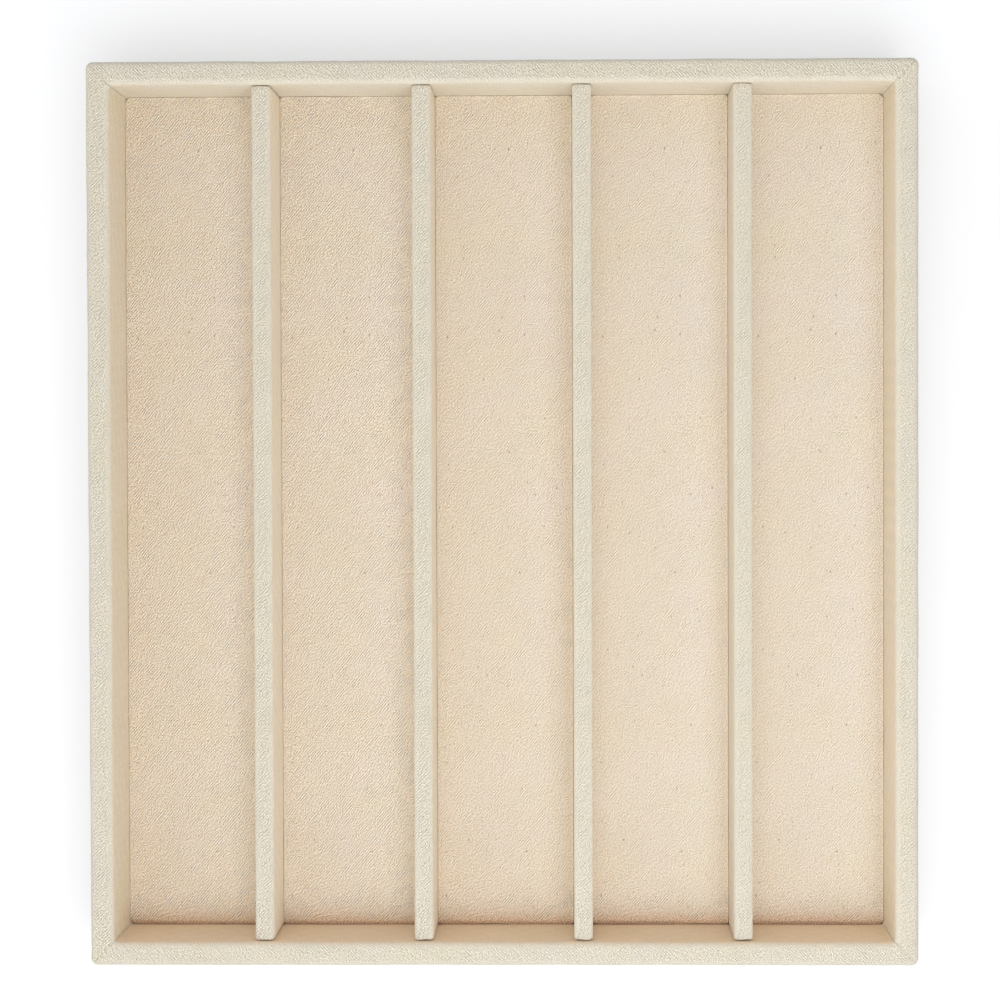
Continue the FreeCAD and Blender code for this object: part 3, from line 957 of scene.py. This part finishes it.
def twill_cloth(name, yarn, weave_values, age_values):
    """Twill by the cloth's own lengthwise and crosswise distances, aged, with the yarns raised."""
    material, w, shader = new_material(name)
    uv = w.node("ShaderNodeUVMap", uv_map="cloth").outputs["UV"]
    split = w.node("ShaderNodeSeparateXYZ", {"Vector": uv}).outputs
    place = {"Along": split[0], "Across": split[1]}

    def mask(label, kind="Fac"):
        return w.node("ShaderNodeAttribute", attribute_name=label).outputs[kind]

    yarns = {"Along Yarn": yarn[0], "Across Yarn": yarn[1], "Waver": YARN_WAVER, "Crisp": mask("crisp")}
    weave = w.group(TWILL, place | yarns | weave_values)
    # The marks carry rubbing, dust with painted shade, and painted light and shade.
    marks = {"Rub": mask("rub"), "Seam": mask("seam_dust_and_shade"), "Tint": mask("painted_light_and_shade", "Vector")}
    aged = w.group(CLOTH_AGE, place | marks | {"Color": weave.outputs["Color"]} | age_values)
    looks = {
        "Base Color": aged.outputs["Color"],
        "Roughness": w.range(aged.outputs["Wear"], 0.0, 1.0, 0.92, 0.78),
        "Normal": w.bump(0.55, YARN_RELIEF, weave.outputs["Height"]),
        "Specular IOR Level": 0.15,
        "Sheen Weight": 0.06,
        "Sheen Roughness": 0.5,
    }
    w.fill(shader, looks)
    return material


def fibre_material(name, grain, dark, pale, speck, rough, raised, sheen):
    """Board, card, felt or wadding by Object coordinates."""
    material, w, shader = new_material(name)
    place = w.node("ShaderNodeTexCoord").outputs["Object"]
    values = {"Vector": place, "Grain": grain, "Speck": speck}
    values |= {"Dark Color": tone(*dark), "Pale Color": tone(*pale)}
    fibres = w.group(FIBRES, values)
    high = fibres.outputs["Height"]
    looks = {
        "Base Color": fibres.outputs["Color"],
        "Roughness": w.range(high, 0.3, 0.7, rough + 0.05, rough - 0.05),
        "Normal": w.bump(0.5, raised, high),
        "Sheen Weight": sheen,
    }
    w.fill(shader, looks)
    return material


def steel_wire(name):
    """Bright drawn wire: fine draw marks along Z in brightness, roughness and relief."""
    material, w, shader = new_material(name)
    place = w.node("ShaderNodeTexCoord").outputs["Object"]
    marks = w.noise(w.vector("MULTIPLY", place, (1.0, 1.0, 0.03)), 9000.0, 3.0, 0.6, "3D").outputs["Fac"]
    looks = {
        "Base Color": w.mix(marks, tone(150, 150, 148), tone(205, 204, 200)),
        "Roughness": w.range(marks, 0.3, 0.7, 0.28, 0.45),
        "Normal": w.bump(0.2, 0.02 * MM, marks),
        "Metallic": 1.0,
    }
    w.fill(shader, looks)
    return material


frame_twill = twill_cloth(
    "frame_twill",
    FRAME_YARN,
    {
        "Warp Color": tone(212, 205, 189),
        "Weft Color": tone(193, 185, 167),
        "Relief": 0.52,
        "Slub": 0.26,
        "Grain": 0.21,
    },
    {
        "Mottle": 0.05,
        "Flecks": 0.4,
        "Fleck Color": tone(176, 164, 138),
        "Rub Color": tone(211, 206, 192),
        # the colour of dust and painted shade in seams and crevices
        "Dust And Shade Color": tone(136, 112, 82),
    },
)
pad_twill = twill_cloth(
    "pad_twill",
    PAD_YARN,
    {
        "Warp Color": tone(220, 208, 190),
        "Weft Color": tone(202, 184, 162),
        "Rib Balance": (0.05, 0.015, -0.01),
        "Relief": 1.07,
        "Slub": 0.28,
        "Grain": 0.26,
    },
    {
        "Mottle": 0.05,
        "Flecks": 0.8,
        "Fleck Color": tone(150, 122, 92),
        "Rub Color": tone(219, 204, 184),
        # the colour of dust and painted shade in seams and crevices
        "Dust And Shade Color": tone(220, 199, 171),
    },
)
# For each: the grain's scale, the dark and the pale tone, specks, roughness, relief and sheen.
FIBRE_KINDS = {
    "felt": (900.0, (186, 172, 148), (222, 211, 190), 0.2, 0.95, 0.25 * MM, 0.3),
    "wadding": (700.0, (222, 220, 214), (246, 245, 241), 0.1, 0.95, 0.4 * MM, 0.2),
    "fibreboard": (1100.0, (148, 116, 82), (190, 158, 120), 0.3, 0.8, 0.05 * MM, 0.0),
    "hardboard": (900.0, (92, 64, 42), (138, 102, 70), 0.4, 0.6, 0.05 * MM, 0.0),
    "card": (1300.0, (150, 143, 132), (188, 181, 169), 0.5, 0.85, 0.03 * MM, 0.0),
}
fibrous = {name: fibre_material(name, *kind) for name, kind in FIBRE_KINDS.items()}
steel = steel_wire("drawn_steel")


# The pieces.


def frame_piece(name, surface, uv, masks, node):
    """A piece of the frame's cloth from one grid of points, standing for one CAD node."""
    faces = grid_faces(*surface.shape[:2])
    return make_piece(name, surface, faces, uv, masks, frame_twill, [node], STRIP_THICK)


# For each side: its quarter turn, its length, the middle of its outside, the painted light on its inner wall,
# which lifts and warms it as bounce light would, and how crisp its weave is.
RAIL_SIDES = {
    "front": (0, 2.0 * HALF_WIDE, 0.0, -HALF_LONG, (1.34, 1.16, 1.03), 1.08),
    "right": (1, 2.0 * HALF_LONG, HALF_WIDE, 0.0, (1.26, 1.2, 1.15), 0.92),
    "back": (2, 2.0 * HALF_WIDE, 0.0, HALF_LONG, (1.19, 1.19, 1.21), 1.2),
    "left": (3, 2.0 * HALF_LONG, -HALF_WIDE, 0.0, (1.29, 1.24, 1.2), 1.2),
}

for place, (side, (quarter, run, x, y, painted_wall_light, crisp)) in enumerate(RAIL_SIDES.items()):
    surface, uv, masks = rail_strip(run, painted_wall_light, crisp, STRIP_SEED + SEED_STEP * place)
    strip = frame_piece(f"{side}_strip", turned(surface, quarter, x, y), uv, masks, f"{side}_wrap")

for number, crisp in enumerate(DIVIDER_CRISPNESS, 1):
    low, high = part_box(f"divider_{number}_wrap")
    surface, uv, masks = divider_cover((low.x + high.x) / 2.0, crisp, DIVIDER_SEED + SEED_STEP * number)
    cover = frame_piece(f"divider_{number}_cover", surface, uv, masks, f"divider_{number}_wrap")

for number, nature in enumerate(PAD_NATURE, 1):
    low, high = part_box(f"pad_{number}_cover")
    points, faces, uv, masks = pad_cover(low, high, *nature, PAD_SEED + SEED_STEP * number)
    pad = make_piece(
        f"pad_{number}", points, faces, uv, masks, pad_twill, [f"pad_{number}_cover"], PAD_CLOTH
    )
    points, faces, uv = pad_wadding(*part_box(f"pad_{number}_foam"))
    filling = make_piece(
        f"pad_{number}_filling", points, faces, uv, {}, fibrous["wadding"], [f"pad_{number}_foam"]
    )

felt_low, felt_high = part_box("base_liner")
surface, uv = felt_sheet(felt_low, felt_high, FELT_SEED)
faces = grid_faces(*surface.shape[:2])
thick = felt_high.z - felt_low.z
lining = make_piece("felt_lining", surface, faces, uv, {}, fibrous["felt"], ["base_liner"], thick)

KEPT_NODES = {
    fibrous["fibreboard"]: [f"{side}_rail" for side in RAIL_SIDES]
    + [f"divider_{number}_board" for number in range(1, 5)],
    fibrous["hardboard"]: ["base_board"],
    fibrous["card"]: ["base_filler"] + [f"pad_{number}_board" for number in range(1, 6)],
    steel: ["base_brads"],
}
for material, nodes in KEPT_NODES.items():
    for node in nodes:
        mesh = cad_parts[node].data
        mesh.materials.clear()
        mesh.materials.append(material)


# Floor, light and camera.

PAPER_HALF = 3.0
PAPER_TICKS = 9
PAPER_COLOR = (0.574, 0.58, 0.594, 1.0)
PAPER_GLOW = 0.395


def seen_directly(w):
    """1 for rays from the camera, from gloss or through glass, 0 for the rest."""
    rays = w.node("ShaderNodeLightPath").outputs
    bright = w.math("MAXIMUM", rays["Is Camera Ray"], rays["Is Glossy Ray"])
    return w.math("MAXIMUM", bright, rays["Is Transmission Ray"])


def paper_floor():
    """A wide sheet of white paper that keeps the tray's shadow: plain white, and a little glow of its own
    where it is looked at directly."""
    ticks = np.linspace(-PAPER_HALF, PAPER_HALF, PAPER_TICKS)
    x, y = np.meshgrid(ticks, ticks)
    points = np.stack([x, y, 0.0 * x], -1).reshape(-1, 3)
    mesh = bpy.data.meshes.new("paper_floor")
    mesh.from_pydata(points.tolist(), [], grid_faces(PAPER_TICKS, PAPER_TICKS).tolist())
    material = bpy.data.materials.new("white_paper")
    material.use_nodes = True
    w = Wiring(material.node_tree)
    w.tree.nodes.clear()
    matte = w.node("ShaderNodeBsdfDiffuse", {"Color": PAPER_COLOR})
    glow = w.node("ShaderNodeEmission", {"Strength": w.times(seen_directly(w), PAPER_GLOW)})
    both = w.node("ShaderNodeAddShader", {0: matte.outputs[0], 1: glow.outputs[0]})
    w.node("ShaderNodeOutputMaterial", {"Surface": both.outputs[0]})
    mesh.materials.append(material)
    floor = bpy.data.objects.new("paper_floor", mesh)
    bpy.context.scene.collection.objects.link(floor)


def soft_lamp(name, place, width, watts):
    """A square white soft box at a place, turned to the tray's middle, that the camera doesn't see."""
    data = bpy.data.lights.new(name, "AREA")
    data.size = width
    data.energy = watts
    lamp = bpy.data.objects.new(name, data)
    lamp.location = place
    lamp.rotation_euler = (-Vector(place)).to_track_quat("-Z", "Y").to_euler()
    lamp.visible_camera = False
    bpy.context.scene.collection.objects.link(lamp)


def room_light(plain, right, front, up):
    """White light from all round: a plain part, and parts that grow with the heading's share to the right,
    to the front and upwards. The room itself is white where it is looked at directly."""
    world = bpy.data.worlds.new("white_room")
    world.use_nodes = True
    bpy.context.scene.world = world
    w = Wiring(world.node_tree)
    background = next(n for n in world.node_tree.nodes if n.type == "BACKGROUND")
    heading = w.node("ShaderNodeTexCoord").outputs["Generated"]
    leaning = w.vector("DOT_PRODUCT", heading, (right, -front, up))
    strength = w.math("MAXIMUM", w.plus(leaning, plain), 0.0)
    w.fill(background, {"Color": WHITE, "Strength": w.range(seen_directly(w), 0.0, 1.0, strength, 1.0)})


paper_floor()
room_light(plain=0.959, right=-0.189, front=0.241, up=-0.142)
soft_lamp("window", (0.2, -0.36, 0.8), width=0.5, watts=1.089)
soft_lamp("ceiling", (0.05, -0.15, 0.55), width=0.4, watts=0.918)

scene = bpy.context.scene
scene.view_settings.view_transform = "Standard"

camera_data = bpy.data.cameras.new("overhead")
camera_data.sensor_width = 36.0
camera_data.lens = 69.57
camera_data.shift_x = -0.045
camera_data.shift_y = -0.033
camera_data.clip_start = 0.01
camera = bpy.data.objects.new("overhead", camera_data)
camera.location = (0.02307, 0.02612, 0.68222)
camera.rotation_euler = (math.radians(-0.910), math.radians(0.759), math.radians(-0.166))
scene.collection.objects.link(camera)
scene.camera = camera
